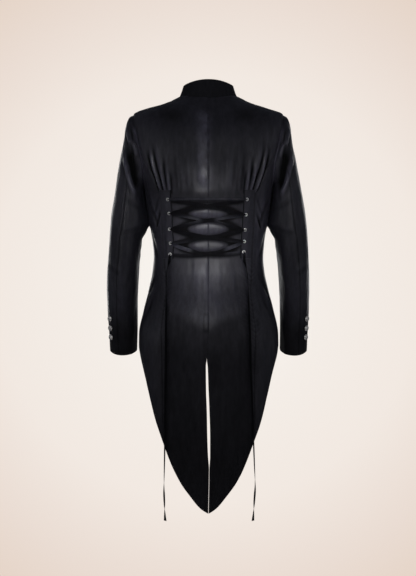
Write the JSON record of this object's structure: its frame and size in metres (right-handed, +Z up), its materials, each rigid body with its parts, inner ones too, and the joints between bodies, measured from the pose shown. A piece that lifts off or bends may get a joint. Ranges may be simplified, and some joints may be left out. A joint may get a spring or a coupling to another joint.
{
  "type": "laced back tailcoat, worn form",
  "caption": "Black satin tailcoat filled out as worn: stand collar, waist laced behind through eyelet tabs, buttoned cuffs, pointed tails with a centre vent.",
  "frame": {"origin": "middle of the neck base, where the wearer's shoulders hold the coat", "axes": "+Z up along the coat, -Y the way the wearer faces, +X to the wearer's left"},
  "size_m": [0.5358, 0.2649, 1.1386],
  "materials": {
    "satin": "black cotton sateen with a soft sheen",
    "lace_ribbon": "flat black grosgrain ribbon",
    "eyelet_metal": "nickel-plated eyelets",
    "button_metal": "antique silver with dark hollows"
  },
  "bodies": {
    "root": {"back_left": "satin", "back_right": "satin", "side_back_left": "satin", "side_back_right": "satin", "front_left": "satin", "front_right": "satin", "sleeve_top_left": "satin", "sleeve_top_right": "satin", "sleeve_under_left": "satin", "sleeve_under_right": "satin", "collar": "satin", "tab_left": "satin", "tab_right": "satin", "eyelet_left_1": "eyelet_metal", "eyelet_left_2": "eyelet_metal", "eyelet_left_3": "eyelet_metal", "eyelet_left_4": "eyelet_metal", "eyelet_left_5": "eyelet_metal", "eyelet_right_1": "eyelet_metal", "eyelet_right_2": "eyelet_metal", "eyelet_right_3": "eyelet_metal", "eyelet_right_4": "eyelet_metal", "eyelet_right_5": "eyelet_metal", "cuff_button_left_1": "button_metal", "cuff_button_left_2": "button_metal", "cuff_button_left_3": "button_metal", "cuff_button_right_1": "button_metal", "cuff_button_right_2": "button_metal", "cuff_button_right_3": "button_metal", "front_button_1": "button_metal", "front_button_2": "button_metal", "front_button_3": "button_metal", "front_button_4": "button_metal", "front_button_5": "button_metal", "front_button_6": "button_metal", "lace": "lace_ribbon", "lace_end_left": "lace_ribbon", "lace_end_right": "lace_ribbon"}
  },
  "joints": []
}
